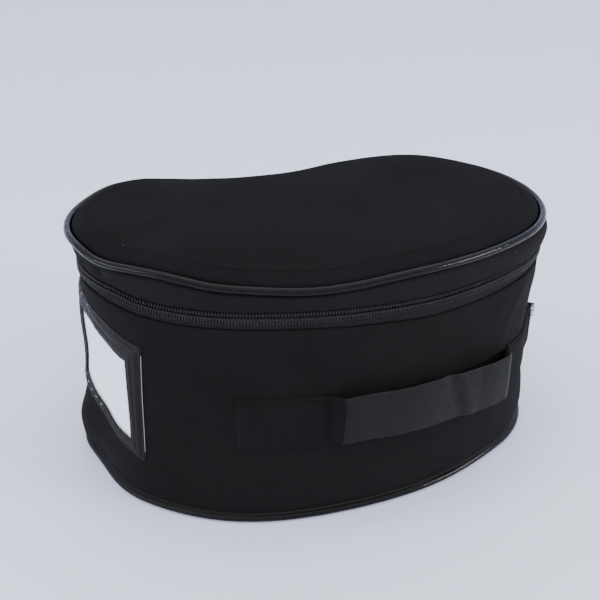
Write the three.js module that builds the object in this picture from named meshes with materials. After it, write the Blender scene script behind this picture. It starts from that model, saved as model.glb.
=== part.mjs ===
// Cap carrier: a kidney-shaped, semi-soft zipped case with piped edges, a webbing handle and a card holder.
// Millimetres, +Z up. The front bulges towards -Y, the back is hollowed, the card holder is on -X.
import * as THREE from 'three';
import { mergeVertices } from 'three/addons/utils/BufferGeometryUtils.js';

// Driving dimensions: plan outline at the lid piping, four tangent arcs
const lobe = { reach: 70.5, left: 76, right: 83 };
const frontRadius = 201;
const hollowRadius = 87;
const arcSteps = { front: 16, right: 22, hollow: 16, left: 20 };

// Driving dimensions: heights. The slope is millimetres of height for each millimetre along X
const lidMiddle = { height: 153.4, slope: -0.012 };
const baseThick = 3;
const gap = 0.35;

// Driving dimensions: cloth, cords and trim
const cloth = { wall: 2.4, lid: 5.5, tape: 1.1, hinge: 1.6, patch: 1.2 };
const lidCrown = 5.5;
const piping = { lid: 2.4, base: 2.2, sides: 8 };
const coil = { high: 7.2, thick: 1.9, below: 4.4 };
const zipRecess = 2.75;
const zipOverlap = 7;
const strap = { wide: 31, thick: 2, step: 6 };
const holder = { right: 794.5, wide: 92.5, foot: 29.8, high: 75.7, side: 11, top: 13.5, bottom: 10 };
const holderTilt = { lean: 0.22, slant: 0.044 };
const holderLayers = { card: 0.4, film: 0.4, frame: 1.4, tuck: 4 };

// Bumps of the soft wall: where along the outline they sit, how far they spread and push out
const corner = { at: 50, spread: 66, out: 9 };
const flare = { at: 708, spread: 24, out: 8 };
const cardFlat = { at: 745, spread: 32, out: -7 };
const rightFull = { at: 292, spread: 60, out: 4.2 };
const rightTuck = { at: 232, spread: 40, out: -2 };

// Height of the lid's rim along the outline
const rimRows = [
  { at: 0, z: 157.8 },
  { at: 14, z: 157.3 },
  { at: 30, z: 155.4 },
  { at: 48, z: 152.9 },
  { at: 72, z: 151.8 },
  { at: 102, z: 150.8 },
  { at: 126, z: 152.2 },
  { at: 146, z: 154.1 },
  { at: 166, z: 155.0 },
  { at: 255, z: 153.8 },
  { at: 330, z: 152.4 },
  { at: 385, z: 152.8 },
  { at: 430, z: 154.1 },
  { at: 475, z: 153.2 },
  { at: 515, z: 154.8 },
  { at: 545, z: 155.0 },
  { at: 592, z: 152.7 },
  { at: 616, z: 154.8 },
  { at: 633, z: 157.5 },
  { at: 655, z: 159.2 },
  { at: 682, z: 158.2 },
  { at: 715, z: 158.8 },
  { at: 748, z: 159.4 },
  { at: 774, z: 157.0 },
  { at: 796, z: 157.8 },
];

// Heights of the lid band's lower edge and of the wall's upper edge, above and below the zip
const zipRows = [
  { at: 0, top: 138.0, foot: 126.3 },
  { at: 20, top: 136.2, foot: 124.7 },
  { at: 45, top: 135.7, foot: 124.3 },
  { at: 90, top: 136.4, foot: 124.9 },
  { at: 135, top: 136.1, foot: 123.7 },
  { at: 185, top: 135.1, foot: 121.0 },
  { at: 225, top: 135.4, foot: 121.6 },
  { at: 255, top: 136.3, foot: 123.0 },
  { at: 275, top: 137.0, foot: 124.2 },
  { at: 500, top: 136.5, foot: 124.2 },
  { at: 620, top: 137.5, foot: 125.5 },
  { at: 700, top: 140.0, foot: 128.5 },
  { at: 755, top: 142.0, foot: 130.5 },
  { at: 775, top: 141.5, foot: 129.0 },
  { at: 796, top: 138.0, foot: 126.3 },
];

// Side wall from foot to zip: share of its height, offset from the outline, share of each bump
const wallRows = [
  { share: 0.00, out: -2.8, corner: 1.0, flare: 0.6, card: 0.8, full: -0.2, tuck: 1.0 },
  { share: 0.03, out: -0.6, corner: 1.0, flare: 1.0, card: 0.8, full: -0.2, tuck: 1.0 },
  { share: 0.12, out: 0.2, corner: 0.9, flare: 1.0, card: 0.6, full: 0.0, tuck: 0.9 },
  { share: 0.25, out: -0.8, corner: 0.6, flare: 0.66, card: 1.0, full: 0.0, tuck: 0.6 },
  { share: 0.42, out: -2.5, corner: 0.3, flare: 0.17, card: 1.0, full: -0.6, tuck: 0.3 },
  { share: 0.62, out: -3.2, corner: 0.1, flare: 0.0, card: 1.0, full: 0.1, tuck: 0.0 },
  { share: 0.82, out: -3.7, corner: 0.0, flare: 0.0, card: 0.8, full: 0.5, tuck: 0.0 },
  { share: 0.94, out: -4.1, corner: 0.0, flare: 0.0, card: 0.1, full: 0.95, tuck: 0.0 },
  { share: 1.00, out: -4.2, corner: 0.0, flare: 0.0, card: 0.0, full: 1.0, tuck: 0.0 },
];

// Lid band from piping to zip: share of its height, offset from the outline, share of the fuller right side
const bandRows = [
  { share: 0.00, out: -2.9, full: 0.6 },
  { share: 0.14, out: -0.8, full: 0.8 },
  { share: 0.50, out: -1.8, full: 1.3 },
  { share: 1.00, out: -4.0, full: 1.5 },
];

// Lid panel from rim to spine: share of the way in and share of the crown
const crownRows = [
  { inward: 0.00, rise: 0.00 },
  { inward: 0.05, rise: 0.42 },
  { inward: 0.13, rise: 0.74 },
  { inward: 0.35, rise: 0.92 },
  { inward: 1.00, rise: 1.00 },
];

// Handle strap along the outline: how far it stands off the wall and the height of its middle
const strapRows = [
  { at: 66, off: 0.4, middle: 64.0 },
  { at: 113.5, off: 0.4, middle: 65.0 },
  { at: 116, off: 2.5, middle: 66.0 },
  { at: 119.5, off: 7.5, middle: 68.5 },
  { at: 135, off: 9.5, middle: 70.0 },
  { at: 165, off: 10.0, middle: 70.0 },
  { at: 190, off: 9.0, middle: 68.0 },
  { at: 212, off: 10.0, middle: 66.5 },
  { at: 230, off: 10.5, middle: 66.0 },
  { at: 237, off: 8.0, middle: 65.0 },
  { at: 243, off: 2.0, middle: 62.5 },
  { at: 246.5, off: 0.4, middle: 61.5 },
  { at: 304, off: 0.4, middle: 61.0 },
];

// Sewn end patches: mouth where the strap comes out, closed end, and how far that end curls off the wall
const patches = [
  { name: 'handle_patch_left', mouth: 113, end: 56, curl: 0 },
  { name: 'handle_patch_right', mouth: 247, end: 313, curl: 1.2 },
];
const patchBorder = 1.6;

// Linear interpolation of one named column of a table
function column(rows, key, value, name) {
  let i = rows.findIndex((row) => row[key] >= value);
  if (i < 0) i = rows.length - 1;
  if (i === 0) return rows[0][name];
  const t = (value - rows[i - 1][key]) / (rows[i][key] - rows[i - 1][key]);
  return THREE.MathUtils.lerp(rows[i - 1][name], rows[i][name], Math.min(t, 1));
}

// Plan outline
const leftCentre = new THREE.Vector2(-lobe.reach, 0);
const rightCentre = new THREE.Vector2(lobe.reach, 0);

// Centre behind the case at given distances from the two lobe centres
function tangentCentre(fromLeft, fromRight) {
  const span = 2 * lobe.reach;
  const along = (fromLeft ** 2 - fromRight ** 2 + span ** 2) / (2 * span);
  return new THREE.Vector2(along - lobe.reach, Math.sqrt(fromLeft ** 2 - along ** 2));
}

const frontCentre = tangentCentre(frontRadius - lobe.left, frontRadius - lobe.right);
const hollowCentre = tangentCentre(hollowRadius + lobe.left, hollowRadius + lobe.right);
const heading = (from, to) => Math.atan2(to.y - from.y, to.x - from.x);
const frontLeft = heading(frontCentre, leftCentre);
const frontRight = heading(frontCentre, rightCentre);
const backRight = heading(rightCentre, hollowCentre);
const backLeft = heading(leftCentre, hollowCentre);

// Anticlockwise from the front-left tangent point; the hollow turns the other way
const arcs = [
  {
    centre: frontCentre, radius: frontRadius, side: 1, steps: arcSteps.front,
    from: frontLeft, to: frontRight,
  },
  {
    centre: rightCentre, radius: lobe.right, side: 1, steps: arcSteps.right,
    from: frontRight, to: backRight,
  },
  {
    centre: hollowCentre, radius: hollowRadius, side: -1, steps: arcSteps.hollow,
    from: backRight - Math.PI, to: backLeft - Math.PI,
  },
  {
    centre: leftCentre, radius: lobe.left, side: 1, steps: arcSteps.left,
    from: backLeft, to: frontLeft + 2 * Math.PI,
  },
];
let perimeter = 0;
for (const arc of arcs) {
  arc.begin = perimeter;
  arc.length = Math.abs(arc.to - arc.from) * arc.radius;
  perimeter += arc.length;
}

// Point and outward normal at a distance along the outline
function outlineAt(distance) {
  const at = THREE.MathUtils.euclideanModulo(distance, perimeter);
  const arc = arcs.find((a) => at < a.begin + a.length) ?? arcs.at(-1);
  const angle = THREE.MathUtils.lerp(arc.from, arc.to, (at - arc.begin) / arc.length);
  const ray = new THREE.Vector2(Math.cos(angle), Math.sin(angle));
  const point = ray.clone().multiplyScalar(arc.radius).add(arc.centre);
  return { at, point, normal: ray.multiplyScalar(arc.side) };
}

// Stations round the whole outline, each with its foot on the spine between the lobe centres
const spineBow = (hollowCentre.y - hollowRadius + frontCentre.y - frontRadius) / 2;
function spineAt(share) {
  const along = 2 * share - 1;
  return new THREE.Vector2(lobe.reach * along, spineBow * (1 - along * along));
}
const spineShare = [(t) => t, () => 1, (t) => 1 - t, () => 0];
const stations = arcs.flatMap((arc, n) => Array.from({ length: arc.steps }, (_, i) => {
  const station = outlineAt(arc.begin + arc.length * i / arc.steps);
  station.spine = spineAt(spineShare[n](i / arc.steps));
  return station;
}));

// Point at an offset from the outline and a height
function spot({ point, normal }, out, z) {
  return new THREE.Vector3(point.x + normal.x * out, point.y + normal.y * out, z);
}

// Distance along the outline, the short way round, as a bell-shaped bump
function bump(at, shape) {
  const away = THREE.MathUtils.euclideanModulo(at - shape.at + perimeter / 2, perimeter) - perimeter / 2;
  return shape.out * Math.exp(-((away / shape.spread) ** 2));
}

// Heights
const rimAt = (st) => column(rimRows, 'at', st.at, 'z');
const zipTopAt = (st) => column(zipRows, 'at', st.at, 'top');
const zipFootAt = (st) => column(zipRows, 'at', st.at, 'foot');
const wallFoot = baseThick + gap;

// Outside of the soft wall at a height, as an offset from the outline
function wallOut(st, z) {
  const share = THREE.MathUtils.clamp((z - wallFoot) / (zipFootAt(st) - wallFoot), 0, 1);
  return column(wallRows, 'share', share, 'out') + bumpsAt(st, share);
}
function bumpsAt(st, share) {
  const shapes = { corner, flare, card: cardFlat, full: rightFull, tuck: rightTuck };
  const parts = Object.entries(shapes).map(([name, shape]) => {
    return column(wallRows, 'share', share, name) * bump(st.at, shape);
  });
  return parts.reduce((sum, part) => sum + part, 0);
}
const baseOut = (st) => bumpsAt(st, 0);

// Closed solid between an outside and an inside grid, each a list of columns of points.
// Rings close on themselves along the columns; panels close on their last row at the spine.
function slab(outside, inside, { ring = false, panel = false } = {}) {
  const columns = outside.length;
  const rows = outside[0].length;
  const corners = [];
  const quad = (a, b, c, d) => corners.push(a, b, c, a, c, d);
  const last = ring ? columns : columns - 1;
  for (let i = 0; i < last; i += 1) {
    const k = (i + 1) % columns;
    for (let j = 0; j < rows - 1; j += 1) {
      quad(outside[i][j], outside[k][j], outside[k][j + 1], outside[i][j + 1]);
      quad(inside[i][j], inside[i][j + 1], inside[k][j + 1], inside[k][j]);
    }
    quad(inside[i][0], inside[k][0], outside[k][0], outside[i][0]);
    const top = rows - 1;
    if (!panel) quad(outside[i][top], outside[k][top], inside[k][top], inside[i][top]);
  }
  for (let j = 0; j < rows - 1 && !ring; j += 1) {
    const end = columns - 1;
    quad(outside[0][j], outside[0][j + 1], inside[0][j + 1], inside[0][j]);
    quad(outside[end][j], inside[end][j], inside[end][j + 1], outside[end][j + 1]);
  }
  return fromCorners(corners);
}

// Indexed geometry from triangle corners, without the triangles that collapse on a spine point
function fromCorners(corners) {
  const kept = [];
  for (let i = 0; i < corners.length; i += 3) {
    const [a, b, c] = corners.slice(i, i + 3);
    const flat = a.distanceTo(b) < 1e-6 || b.distanceTo(c) < 1e-6 || c.distanceTo(a) < 1e-6;
    if (!flat) kept.push(a, b, c);
  }
  const geometry = mergeVertices(new THREE.BufferGeometry().setFromPoints(kept), 1e-4);
  geometry.computeVertexNormals();
  return geometry;
}

// Closed cord of round section carried round the outline
function cordRing(radius, centreOf) {
  const sections = stations.map((st) => {
    const { out, z } = centreOf(st);
    return Array.from({ length: piping.sides }, (_, i) => {
      const turn = 2 * Math.PI * i / piping.sides;
      return spot(st, out + radius * Math.cos(turn), z + radius * Math.sin(turn));
    });
  });
  const corners = [];
  sections.forEach((section, i) => {
    const next = sections[(i + 1) % sections.length];
    section.forEach((a, j) => {
      const k = (j + 1) % piping.sides;
      corners.push(a, next[j], next[k], a, next[k], section[k]);
    });
  });
  return fromCorners(corners);
}

// Panel across the outline: rows of points from the rim in to the spine, top and underside
function outlinePanel(rimOut, rows, topOf, thick) {
  const grid = (drop) => stations.map((st) => rows.map(({ inward, rise }) => {
    const rim = spot(st, rimOut(st), 0);
    const flatPoint = new THREE.Vector2(rim.x, rim.y).lerp(st.spine, inward);
    return new THREE.Vector3(flatPoint.x, flatPoint.y, topOf(st, inward, rise) - drop);
  }));
  return slab(grid(0), grid(thick), { ring: true, panel: true });
}

// Wall-like ring whose outside is a list of offset and height rows, foot to top
function wallRing(rowsOf, thick) {
  const grid = (inward) => stations.map((st) => rowsOf(st).map(({ out, z }) => spot(st, out - inward, z)));
  return slab(grid(0), grid(thick), { ring: true });
}

// Places along the outline, through a list of distances with steps no longer than a given one
function placesThrough(distances, step) {
  const places = distances.slice(1).flatMap((to, i) => {
    const count = Math.max(1, Math.ceil((to - distances[i]) / step));
    return Array.from({ length: count }, (_, n) => THREE.MathUtils.lerp(distances[i], to, n / count));
  });
  return [...places, distances.at(-1)].map(outlineAt);
}

// Strip along part of the outline
function strip(distances, step, rowsOf, thick) {
  const places = placesThrough(distances, step);
  const grid = (inward) => places.map((st) => rowsOf(st).map(({ out, z }) => spot(st, out - inward, z)));
  return slab(grid(0), grid(thick));
}

const black = (color, roughness) => new THREE.MeshStandardMaterial({ color, roughness, metalness: 0 });
const clear = { color: 0xe8ecf2, roughness: 0.1, transparent: true, opacity: 0.3 };
const looks = {
  cloth: () => black(0x1b1b1e, 0.95),
  vinyl: () => black(0x121214, 0.28),
  webbing: () => black(0x33333a, 0.85),
  zip: () => black(0x17171a, 0.6),
  film: () => new THREE.MeshStandardMaterial(clear),
  card: () => black(0xe9ecf4, 0.8),
};
const carrier = new THREE.Group();
function add(name, geometry, look) {
  const mesh = new THREE.Mesh(geometry, look());
  mesh.name = name;
  carrier.add(mesh);
}

// Base: flat panel inside its piping
const flatRows = [{ inward: 0, rise: 0 }, { inward: 1, rise: 0 }];
const basePanelRim = (st) => baseOut(st) - piping.base - gap;
add('base_panel', outlinePanel(basePanelRim, flatRows, () => baseThick, baseThick), looks.cloth);
add('base_piping', cordRing(piping.base, (st) => ({ out: baseOut(st), z: piping.base + gap })), looks.vinyl);

// Body wall: hollow, from the base panel up to the zip
const wallRowsAt = (st) => wallRows.map(({ share }) => {
  const z = THREE.MathUtils.lerp(wallFoot, zipFootAt(st), share);
  return { out: wallOut(st, z), z };
});
add('body_wall', wallRing(wallRowsAt, cloth.wall), looks.cloth);

// Lid: band that leans in to the zip, piping and a crowned panel
const bandTopAt = (st) => rimAt(st) - piping.lid - 2 * gap;
const bandRowsAt = (st) => [...bandRows].reverse().map(({ share, out, full }) => {
  const z = THREE.MathUtils.lerp(bandTopAt(st), zipTopAt(st), share);
  return { out: out + full * bump(st.at, rightFull), z };
});
add('lid_band', wallRing(bandRowsAt, cloth.wall), looks.cloth);
add('lid_piping', cordRing(piping.lid, (st) => ({ out: 0, z: rimAt(st) })), looks.vinyl);
const lidTop = (st, inward, rise) => {
  const middle = lidMiddle.height + lidMiddle.slope * st.spine.x;
  const level = THREE.MathUtils.lerp(rimAt(st), middle, THREE.MathUtils.smoothstep(inward, 0, 1));
  return level - piping.lid - gap + cloth.lid + lidCrown * rise;
};
add('lid_panel', outlinePanel(() => -piping.lid - gap, crownRows, lidTop, cloth.lid), looks.cloth);

// Zip from one side of the back hinge round the front to the other: two tapes behind the coil
const hollow = arcs[2];
const hinge = { from: hollow.begin - 4, to: hollow.begin + hollow.length + 4, step: 6 };
const zipRun = [hinge.to + gap, hinge.from + perimeter - gap];
const zipStep = 12;
const tapeOut = (st) => wallOut(st, zipFootAt(st)) - zipRecess - gap;
const coilMiddle = (st) => zipTopAt(st) - coil.below;
const tapeRows = (low, high) => (st) => [low, high].map((z) => ({ out: tapeOut(st), z: z(st) }));
const lowerTape = tapeRows((st) => zipFootAt(st) - zipOverlap, (st) => coilMiddle(st) - gap / 2);
const upperTape = tapeRows((st) => coilMiddle(st) + gap / 2, (st) => zipTopAt(st) + zipOverlap);
add('zip_tape_lower', strip(zipRun, zipStep, lowerTape, cloth.tape), looks.zip);
add('zip_tape_upper', strip(zipRun, zipStep, upperTape, cloth.tape), looks.zip);
const coilEdge = gap + 0.6 * coil.thick;
const coilFace = gap + coil.thick;
const coilRows = (st) => [
  { out: tapeOut(st) + coilEdge, z: coilMiddle(st) - coil.high / 2 },
  { out: tapeOut(st) + coilFace, z: coilMiddle(st) - coil.high / 5 },
  { out: tapeOut(st) + coilFace, z: coilMiddle(st) + coil.high / 5 },
  { out: tapeOut(st) + coilEdge, z: coilMiddle(st) + coil.high / 2 },
];
add('zip_coil', strip(zipRun, zipStep, coilRows, 0.6 * coil.thick), looks.zip);

// Slider parked at the back beside the hinge, with its pull hanging down
const slider = { from: hinge.from - 20, to: hinge.from - 10, high: 9, thick: 3.4, pull: 24, step: 2.5 };
const sliderSeat = Math.max(...wallRows.filter(({ share }) => share > 0.6).map(({ out }) => out)) + gap;
const sliderRows = (st) => [
  { out: sliderSeat + slider.thick, z: coilMiddle(st) - slider.high / 2 - slider.pull },
  { out: sliderSeat + slider.thick, z: coilMiddle(st) - slider.high / 2 },
  { out: sliderSeat + slider.thick, z: coilMiddle(st) + slider.high / 2 },
];
add('zip_slider', strip([slider.from, slider.to], slider.step, sliderRows, slider.thick), looks.zip);

// Back hinge: cloth strip behind the wall's and the band's edges
const hingeRows = (st) => [
  { out: tapeOut(st), z: zipFootAt(st) - zipOverlap },
  { out: tapeOut(st), z: zipTopAt(st) + zipOverlap },
];
add('back_hinge', strip([hinge.from, hinge.to], hinge.step, hingeRows, cloth.hinge), looks.cloth);

// Handle: strap that bows off the wall, its ends under two sewn patches
function strapSpot(st) {
  const middle = column(strapRows, 'at', st.at, 'middle');
  const low = middle - strap.wide / 2;
  const high = middle + strap.wide / 2;
  const seat = Math.max(wallOut(st, low), wallOut(st, middle), wallOut(st, high));
  return { low, middle, high, face: seat + column(strapRows, 'at', st.at, 'off') + strap.thick };
}
const strapGrid = (st) => {
  const { low, middle, high, face } = strapSpot(st);
  return [low, middle, high].map((z) => ({ out: face, z }));
};
add('handle_strap', strip(strapRows.map(({ at }) => at), strap.step, strapGrid, strap.thick), looks.webbing);

// A patch hugs the wall round its border and rides over the strap in the middle
function patchRows(patch) {
  return (st) => {
    const { low, middle, high, face } = strapSpot(st);
    const inset = Math.abs(st.at - patch.end);
    const cover = THREE.MathUtils.smoothstep(inset, patchBorder, 3 * patchBorder);
    const curl = patch.curl * (1 - THREE.MathUtils.smoothstep(inset, 0, 12));
    const over = face + gap + cloth.patch;
    const deepest = over - strap.thick - 2 * gap - cloth.patch;
    const border = (z) => Math.max(wallOut(st, z), deepest) + gap + cloth.patch;
    const crest = (z) => THREE.MathUtils.lerp(border(z), over, cover);
    const rows = [
      { out: border(low - patchBorder), z: low - patchBorder },
      { out: border(low - 1), z: low - 1 },
      { out: crest(low), z: low - gap },
      { out: crest(middle), z: middle },
      { out: crest(high), z: high + gap },
      { out: border(high + 1), z: high + 1 },
      { out: border(high + patchBorder), z: high + patchBorder },
    ];
    return rows.map(({ out, z }) => ({ out: out + curl, z }));
  };
}
for (const patch of patches) {
  const run = [patch.mouth, patch.end].sort((a, b) => a - b);
  add(patch.name, strip(run, strap.step, patchRows(patch), cloth.patch), looks.cloth);
}

// Card holder: a card and a film under a stitched frame, all laid on the wall
const holderLeft = holder.right - holder.wide;
const holderTop = holder.foot + holder.high;
const opening = {
  left: holderLeft + holder.side,
  right: holder.right - holder.side,
  low: holder.foot + holder.bottom,
  high: holderTop - holder.top,
};
// The holder rises towards its left end, and its upright edges slant
const holderSpot = (at, z, lift) => {
  const st = outlineAt(at + holderTilt.slant * ((holder.foot + holderTop) / 2 - z));
  const height = z + holderTilt.lean * (holder.right - at);
  return spot(st, wallOut(st, height) + lift, height);
};
const sheetSteps = { along: 9, up: 6 };
function laidSheet(lift, thick) {
  const { left, right, low, high } = opening;
  const { tuck } = holderLayers;
  const grid = (extra) => Array.from({ length: sheetSteps.along + 1 }, (_, i) => {
    const at = THREE.MathUtils.lerp(left - tuck, right + tuck, i / sheetSteps.along);
    return Array.from({ length: sheetSteps.up + 1 }, (__, j) => {
      return holderSpot(at, THREE.MathUtils.lerp(low - tuck, high + tuck, j / sheetSteps.up), lift + extra);
    });
  });
  return slab(grid(thick), grid(0));
}
const cardLift = 1.5 * gap;
const filmLift = cardLift + holderLayers.card + gap;
const frameLift = filmLift + holderLayers.film + 2.5 * gap;
add('label_card', laidSheet(cardLift, holderLayers.card), looks.card);
add('label_window', laidSheet(filmLift, holderLayers.film), looks.film);

// Frame: a rectangular ring, walked round from the lower left corner
function frameLoop(across) {
  const left = THREE.MathUtils.lerp(holderLeft, opening.left, across);
  const right = THREE.MathUtils.lerp(holder.right, opening.right, across);
  const low = THREE.MathUtils.lerp(holder.foot, opening.low, across);
  const high = THREE.MathUtils.lerp(holderTop, opening.high, across);
  const turns = [[left, low], [right, low], [right, high], [left, high]];
  const steps = [sheetSteps.along, sheetSteps.up, sheetSteps.along, sheetSteps.up];
  return turns.flatMap(([at, z], side) => Array.from({ length: steps[side] }, (_, i) => {
    const [nextAt, nextZ] = turns[(side + 1) % turns.length];
    const share = i / steps[side];
    return { at: THREE.MathUtils.lerp(at, nextAt, share), z: THREE.MathUtils.lerp(z, nextZ, share) };
  }));
}
const frameLoops = [0, 0.5, 1].map(frameLoop);
const frameGrid = (lift) => frameLoops[0].map((_, i) => {
  return frameLoops.map((loop) => holderSpot(loop[i].at, loop[i].z, lift));
});
const frameFace = frameGrid(frameLift + holderLayers.frame);
add('label_frame', slab(frameFace, frameGrid(frameLift), { ring: true }), looks.vinyl);

// The origin is the middle of the footprint, on the surface that the case stands on
const box = new THREE.Box3().setFromObject(carrier);
const middle = box.getCenter(new THREE.Vector3());
carrier.position.set(-middle.x, -middle.y, -box.min.z);
carrier.updateMatrixWorld(true);

export default carrier;
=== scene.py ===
import math

import bmesh
import bpy
import numpy as np
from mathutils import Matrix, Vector


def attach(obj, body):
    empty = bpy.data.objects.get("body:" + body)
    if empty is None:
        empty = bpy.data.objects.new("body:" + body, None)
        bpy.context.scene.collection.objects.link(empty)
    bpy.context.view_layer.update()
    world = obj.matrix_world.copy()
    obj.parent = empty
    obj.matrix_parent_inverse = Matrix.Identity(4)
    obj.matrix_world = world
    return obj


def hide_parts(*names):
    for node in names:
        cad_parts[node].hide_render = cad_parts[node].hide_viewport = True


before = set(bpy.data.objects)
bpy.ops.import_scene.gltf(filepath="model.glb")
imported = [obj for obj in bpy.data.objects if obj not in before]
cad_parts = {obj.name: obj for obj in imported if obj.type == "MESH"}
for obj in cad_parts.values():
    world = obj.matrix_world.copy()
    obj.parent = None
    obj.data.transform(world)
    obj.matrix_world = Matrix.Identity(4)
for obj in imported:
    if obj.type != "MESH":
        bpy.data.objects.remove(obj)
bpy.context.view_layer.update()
print("frame loaded:", len(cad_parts), "solids")

# Shapes are worked out in millimetres round the plan outline; makePiece turns them into metres in the frame
metre = 0.001
fullTurn = 2 * math.pi
gap = 0.35
upward = np.array([0.0, 0.0, 1.0])

# The case in plan: two end lobes, a bulged front and a hollowed back; shift places its origin in the frame
case = dict(
    reach=70.5, leftLobe=76.0, rightLobe=83.0, front=201.0, hollow=87.0,
    shift=(-2.2768, 13.2114, 0.0),
)
columnCount = dict(front=110, right=136, hollow=110, left=120)


# Centre of the arc that touches both lobes, at given distances from their centres
def tangentCentre(fromLeft, fromRight):
    span = 2 * case["reach"]
    along = (fromLeft**2 - fromRight**2 + span**2) / (2 * span)
    return along - case["reach"], math.sqrt(fromLeft**2 - along**2)


def heading(start, stop):
    return math.atan2(stop[1] - start[1], stop[0] - start[0])


leftCentre, rightCentre = (-case["reach"], 0.0), (case["reach"], 0.0)
frontCentre = tangentCentre(case["front"] - case["leftLobe"], case["front"] - case["rightLobe"])
hollowCentre = tangentCentre(case["hollow"] + case["leftLobe"], case["hollow"] + case["rightLobe"])
frontLeft, frontRight = heading(frontCentre, leftCentre), heading(frontCentre, rightCentre)
backRight, backLeft = heading(rightCentre, hollowCentre), heading(leftCentre, hollowCentre)

# Arcs anticlockwise from the front left: front, right lobe, hollow, left lobe
arcCentre = np.array([frontCentre, rightCentre, hollowCentre, leftCentre])
arcRadius = np.array([case["front"], case["rightLobe"], case["hollow"], case["leftLobe"]])
arcStart = np.array([frontLeft, frontRight, backRight - math.pi, backLeft])
arcStop = np.array([frontRight, backRight, backLeft - math.pi, frontLeft + fullTurn])
arcSide = np.array([1, 1, -1, 1])
arcLength = np.abs(arcStop - arcStart) * arcRadius
arcBegin = np.concatenate([[0], np.cumsum(arcLength)[:-1]])
perimeter = arcLength.sum()
hollowFrom, hollowTo = arcBegin[2], arcBegin[3]
roundColumns = np.concatenate([
    arcBegin[k] + arcLength[k] * np.arange(n) / n for k, n in enumerate(columnCount.values())
])
fineColumns = np.linspace(0, perimeter, 620, endpoint=False)


# Point and outward normal at a distance along the outline: an arc's centre plus its radius along a ray
def outline(at):
    at = np.mod(at, perimeter)
    n = np.clip(np.searchsorted(arcBegin, at, side="right") - 1, 0, 3)
    turn = arcStart[n] + (arcStop[n] - arcStart[n]) * (at - arcBegin[n]) / arcLength[n]
    c, s = np.cos(turn), np.sin(turn)
    x = arcCentre[n, 0] + arcRadius[n] * c
    y = arcCentre[n, 1] + arcRadius[n] * s
    return x, y, c * arcSide[n], s * arcSide[n]


# Point at an offset from the outline and a height
def spot(at, out, z):
    x, y, nx, ny = outline(np.asarray(at, float))
    return np.stack(np.broadcast_arrays(x + nx * out, y + ny * out, z), -1)


def facingOf(at):
    _, _, nx, ny = outline(np.array(at))
    return np.array([float(nx), float(ny), 0.0])


# Zero below low, one above high, eased in between
def smoothStep(value, low, high):
    t = np.clip((value - low) / (high - low), 0, 1)
    return t * t * (3 - 2 * t)


# One between two eased limits and zero outside them
def between(value, rising, falling):
    return smoothStep(value, *rising) * (1 - smoothStep(value, *falling))


# One at a place and zero away from it
def closeTo(at, place, ease):
    return 1 - smoothStep(np.abs(at - place), *ease)


# Bell curve: one in the middle, near zero two spreads away
def bell(away, spread):
    return np.exp(-((away / spread) ** 2))


# Quarter circle: zero at a border, one from the rounding's width inwards
def roundedRise(inset, width):
    return np.sqrt(1 - (1 - np.clip(inset / width, 0, 1)) ** 2)


# Angles evenly round a ring
def ringTurns(count):
    return np.linspace(0, fullTurn, count, endpoint=False)


# Spread of places that is finer towards both ends
def endSpread(count):
    return 0.5 - 0.5 * np.cos(np.linspace(0, math.pi, count))


# Smooth curve through a table that never overshoots: cubic pieces, slopes from the neighbours' harmonic mean
def tableCurve(table, row, value):
    xs, ys = np.asarray(table["along"], float), np.asarray(table[row], float)
    rise = np.diff(ys) / np.diff(xs)
    slope = np.concatenate([rise[:1], np.zeros(len(xs) - 2), rise[-1:]])
    same = rise[:-1] * rise[1:] > 0
    slope[1:-1][same] = 2 * rise[:-1][same] * rise[1:][same] / (rise[:-1][same] + rise[1:][same])
    i = np.clip(np.searchsorted(xs, value) - 1, 0, len(xs) - 2)
    span = xs[i + 1] - xs[i]
    t = np.clip((value - xs[i]) / span, 0, 1)
    start = (1 + 2 * t) * (1 - t) ** 2 * ys[i] + t * (1 - t) ** 2 * span * slope[i]
    stop = t * t * (3 - 2 * t) * ys[i + 1] - t * t * (1 - t) * span * slope[i + 1]
    return start + stop


# Distance along the outline from a place, the short way round
def shortWay(at, place):
    return np.mod(at - place + perimeter / 2, perimeter) - perimeter / 2


def bump(at, shape):
    return shape["out"] * bell(shortWay(at, shape["at"]), shape["spread"])


# Sum of pushes in or out, each bell-shaped both along and up
def pushes(table, at, z):
    total = 0.0
    for place, level, out, wide, high in zip(*table.values()):
        total = total + out * bell(shortWay(at, place), wide) * bell(z - level, high)
    return total


# Slow unevenness of sewn cloth: three sine waves round the outline, each leaning with the height
unevenWaves = dict(
    high=[0.45, 0.35, 0.2], turns=[9, 17, 31], lean=[0.04, -0.06, 0.09], phase=[0.6, 2.1, 4.0],
)


def unevenness(at, z):
    turn = fullTurn * at / perimeter
    waves = zip(*unevenWaves.values())
    return sum(high * np.sin(turns * turn + lean * z + phase) for high, turns, lean, phase in waves)


# Heights along the outline: the lid's rim, and the upper and lower edges of the zip
rim = dict(
    along=[0, 14, 30, 48, 72, 102, 126, 146, 166, 255, 330, 385, 430,
           475, 515, 545, 592, 616, 633, 655, 682, 715, 748, 774, perimeter],
    z=[157.8, 157.3, 155.4, 152.9, 151.8, 150.8, 152.2, 154.1, 155.0, 153.8, 152.4, 152.8, 154.1,
       153.2, 154.8, 155.0, 152.7, 154.8, 157.5, 159.2, 158.2, 158.8, 159.4, 157.0, 157.8],
)
zipEdges = dict(
    along=[0, 20, 45, 90, 135, 185, 225, 255, 275, 500, 620, 700, 755, 775, perimeter],
    top=[138.0, 136.2, 135.7, 136.4, 136.1, 135.1, 135.4, 136.3,
         137.0, 136.5, 137.5, 140.0, 142.0, 141.5, 138.0],
    foot=[126.3, 124.7, 124.3, 124.9, 123.7, 121.0, 121.6, 123.0,
          124.2, 124.2, 125.5, 128.5, 130.5, 129.0, 126.3],
)
baseThick = 3.0
wallFoot = baseThick + gap


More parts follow.
